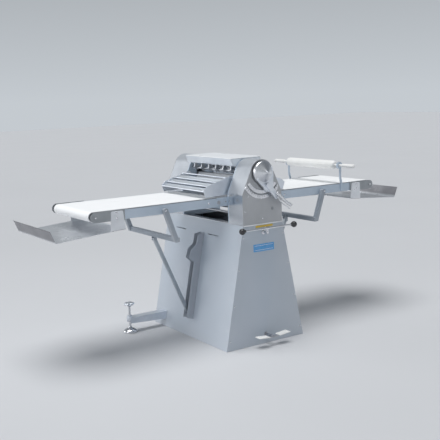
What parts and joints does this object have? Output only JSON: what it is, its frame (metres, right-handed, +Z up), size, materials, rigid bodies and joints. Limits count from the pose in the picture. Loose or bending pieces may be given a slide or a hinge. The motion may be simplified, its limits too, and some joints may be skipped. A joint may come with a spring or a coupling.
{
  "type": "dough sheeter",
  "caption": "Floor-standing reversible dough sheeter: a pair of gapped rollers between two housings on a tapered stand, with folding belt tables, guards, catch trays and a rolling bracket.",
  "frame": {"origin": "middle of the stand's rectangular footprint, on the floor", "axes": "+X along the conveyor to the operator's right, +Y to the back, +Z up"},
  "size_m": [2.702, 1.03, 1.187],
  "materials": {
    "painted_panel": "pale grey enamel, semi gloss",
    "painted_frame": "light blue-grey enamel",
    "structural_steel": "grey primer",
    "brushed_stainless": "brushed",
    "polished_stainless": "polished",
    "roller_chrome": "ground and hard chromed",
    "cast_grey": "grey hammered paint",
    "belt_white": "white coated conveyor cloth",
    "white_plastic": "satin",
    "black_plastic": "glossy",
    "machined_steel": "machined",
    "lid_white": "white enamel"
  },
  "bodies": {
    "stand": {"base_frame": "structural_steel", "end_panels": "painted_panel", "side_panels": "painted_panel", "top_deck": "painted_panel", "strut_channels": "painted_frame", "side_plates": "brushed_stainless", "housing_wraps": "brushed_stainless", "housing_covers": "brushed_stainless", "tie_bars": "machined_steel", "feed_plates": "polished_stainless", "drive_motor": "cast_grey", "gearbox": "cast_grey", "drive_chain": "machined_steel", "electrical_box": "painted_panel", "cable_gland": "black_plastic", "flour_tray": "polished_stainless", "scale_arcs": "polished_stainless", "outrigger_arm": "brushed_stainless", "cover_screws": "machined_steel"},
    "lower_roller": {"lower_roller": "roller_chrome", "lower_gear": "machined_steel", "lower_sprocket": "machined_steel"},
    "upper_roller": {"upper_roller": "roller_chrome", "upper_gear": "machined_steel"},
    "carriage": {"roller_carriage": "machined_steel", "upper_scrapers": "white_plastic"},
    "drive_sprocket": {"drive_sprocket": "machined_steel"},
    "flour_lid": {"flour_lid": "lid_white"},
    "gap_lever": {"gap_lever": "polished_stainless"},
    "lever_trigger": {"lever_trigger": "polished_stainless"},
    "control_rod": {"control_rod": "roller_chrome", "control_knobs": "black_plastic"},
    "pedal": {"pedal": "painted_panel"},
    "foot_pad": {"foot_pad": "roller_chrome"},
    "foot_spindle": {"foot_spindle": "roller_chrome"},
    "rolling_pin": {"rolling_pin": "white_plastic"},
    "left_table": {"left_rails": "painted_frame", "left_end_plates": "cast_grey", "left_bed": "brushed_stainless", "left_belt": "belt_white", "left_yoke": "painted_frame", "left_catch_tray": "polished_stainless", "left_table_bolts": "machined_steel"},
    "left_drive_roller": {"left_drive_roller": "machined_steel"},
    "left_end_roller": {"left_end_roller": "machined_steel"},
    "left_strut": {"left_strut": "brushed_stainless"},
    "left_guard": {"left_guard": "polished_stainless"},
    "right_table": {"right_rails": "painted_frame", "right_end_plates": "cast_grey", "right_bed": "brushed_stainless", "right_belt": "belt_white", "right_yoke": "painted_frame", "right_catch_tray": "polished_stainless", "right_table_bolts": "machined_steel", "pin_brackets": "painted_panel", "pin_handles": "white_plastic"},
    "right_drive_roller": {"right_drive_roller": "machined_steel"},
    "right_end_roller": {"right_end_roller": "machined_steel"},
    "right_strut": {"right_strut": "brushed_stainless"},
    "right_guard": {"right_guard": "polished_stainless"}
  },
  "joints": [
    {"name": "left_table_fold", "type": "hinge", "parent": "stand", "child": "left_table", "pos_m": [-0.224, -0.02, 0.918], "axis": [0, 1, 0], "range_deg": [0, 70]},
    {"name": "left_guard_lift", "type": "hinge", "parent": "stand", "child": "left_guard", "pos_m": [-0.1, -0.02, 1.062], "axis": [0, 1, 0], "range_deg": [0, 71]},
    {"name": "left_strut_swing", "type": "hinge", "parent": "left_table", "child": "left_strut", "pos_m": [-0.535, -0.006, 0.694], "axis": [0, -1, 0], "range_deg": [0, 82.7]},
    {"name": "right_table_fold", "type": "hinge", "parent": "stand", "child": "right_table", "pos_m": [0.224, -0.02, 0.918], "axis": [0, -1, 0], "range_deg": [0, 70]},
    {"name": "right_guard_lift", "type": "hinge", "parent": "stand", "child": "right_guard", "pos_m": [0.1, -0.02, 1.062], "axis": [0, -1, 0], "range_deg": [0, 71]},
    {"name": "right_strut_swing", "type": "hinge", "parent": "right_table", "child": "right_strut", "pos_m": [0.535, -0.006, 0.694], "axis": [0, 1, 0], "range_deg": [0, 82.7]},
    {"name": "lower_roller_spin", "type": "hinge", "parent": "stand", "child": "lower_roller", "pos_m": [0, -0.02, 0.905], "axis": [0, 1, 0], "continuous": true},
    {"name": "roller_gap", "type": "slide", "parent": "stand", "child": "carriage", "axis": [0, 0, 1], "range_m": [0, 0.0321]},
    {"name": "upper_roller_spin", "type": "hinge", "parent": "carriage", "child": "upper_roller", "pos_m": [0, -0.02, 0.995], "axis": [0, 1, 0], "continuous": true},
    {"name": "drive_sprocket_spin", "type": "hinge", "parent": "stand", "child": "drive_sprocket", "pos_m": [0, 0.33, 0.34], "axis": [0, 1, 0], "continuous": true},
    {"name": "left_drive_roller_spin", "type": "hinge", "parent": "left_table", "child": "left_drive_roller", "pos_m": [-0.224, -0.02, 0.918], "axis": [0, 1, 0], "continuous": true},
    {"name": "left_end_roller_spin", "type": "hinge", "parent": "left_table", "child": "left_end_roller", "pos_m": [-1.073, -0.02, 0.918], "axis": [0, 1, 0], "continuous": true},
    {"name": "right_drive_roller_spin", "type": "hinge", "parent": "right_table", "child": "right_drive_roller", "pos_m": [0.224, -0.02, 0.918], "axis": [0, 1, 0], "continuous": true},
    {"name": "right_end_roller_spin", "type": "hinge", "parent": "right_table", "child": "right_end_roller", "pos_m": [1.073, -0.02, 0.918], "axis": [0, 1, 0], "continuous": true},
    {"name": "gap_lever_swing", "type": "hinge", "parent": "stand", "child": "gap_lever", "pos_m": [0, -0.48, 1.1], "axis": [0, 1, 0], "range_deg": [0, 100]},
    {"name": "lever_trigger_squeeze", "type": "hinge", "parent": "gap_lever", "child": "lever_trigger", "pos_m": [0.0756, -0.509, 0.9415], "axis": [0, -1, 0], "range_deg": [0, 4], "stiffness_Nm_per_rad": 1.5},
    {"name": "rod_tilt", "type": "hinge", "parent": "stand", "child": "control_rod", "pos_m": [0, -0.48, 0.725], "axis": [0, 1, 0], "range_deg": [-8, 8], "stiffness_Nm_per_rad": 12},
    {"name": "pedal_rock", "type": "hinge", "parent": "stand", "child": "pedal", "pos_m": [0, -0.51, 0.06], "axis": [0, 1, 0], "range_deg": [-8, 8], "stiffness_Nm_per_rad": 2},
    {"name": "flour_lid_lift", "type": "slide", "parent": "stand", "child": "flour_lid", "axis": [0, 0, 1], "range_m": [0, 0.06]},
    {"name": "foot_raise", "type": "slide", "parent": "stand", "child": "foot_pad", "axis": [0, 0, 1], "range_m": [0, 0.015]},
    {"name": "foot_spindle_turn", "type": "hinge", "parent": "foot_pad", "child": "foot_spindle", "pos_m": [-0.564, 0.34, 0.1], "axis": [0, 0, 1], "range_deg": [0, 2700.5]},
    {"name": "rolling_pin_spin", "type": "hinge", "parent": "right_table", "child": "rolling_pin", "pos_m": [0.785, -0.02, 1.075], "axis": [0, 1, 0], "continuous": true}
  ],
  "couplings": [
    {"joint": "left_guard_lift", "follows": "left_table_fold", "ratio": 1},
    {"joint": "left_strut_swing", "follows": "left_table_fold", "ratio": 1.1743},
    {"joint": "right_guard_lift", "follows": "right_table_fold", "ratio": 1},
    {"joint": "right_strut_swing", "follows": "right_table_fold", "ratio": 1.1743},
    {"joint": "upper_roller_spin", "follows": "lower_roller_spin", "ratio": -1},
    {"joint": "drive_sprocket_spin", "follows": "lower_roller_spin", "ratio": 1},
    {"joint": "left_drive_roller_spin", "follows": "lower_roller_spin", "ratio": 1.5926},
    {"joint": "left_end_roller_spin", "follows": "lower_roller_spin", "ratio": 1.5926},
    {"joint": "right_drive_roller_spin", "follows": "lower_roller_spin", "ratio": 1.5926},
    {"joint": "right_end_roller_spin", "follows": "lower_roller_spin", "ratio": 1.5926},
    {"joint": "roller_gap", "follows": "gap_lever_swing", "m_per_rad": 0.018335},
    {"joint": "pedal_rock", "follows": "rod_tilt", "ratio": 1},
    {"joint": "foot_spindle_turn", "follows": "foot_raise", "rad_per_m": 3141.6}
  ]
}
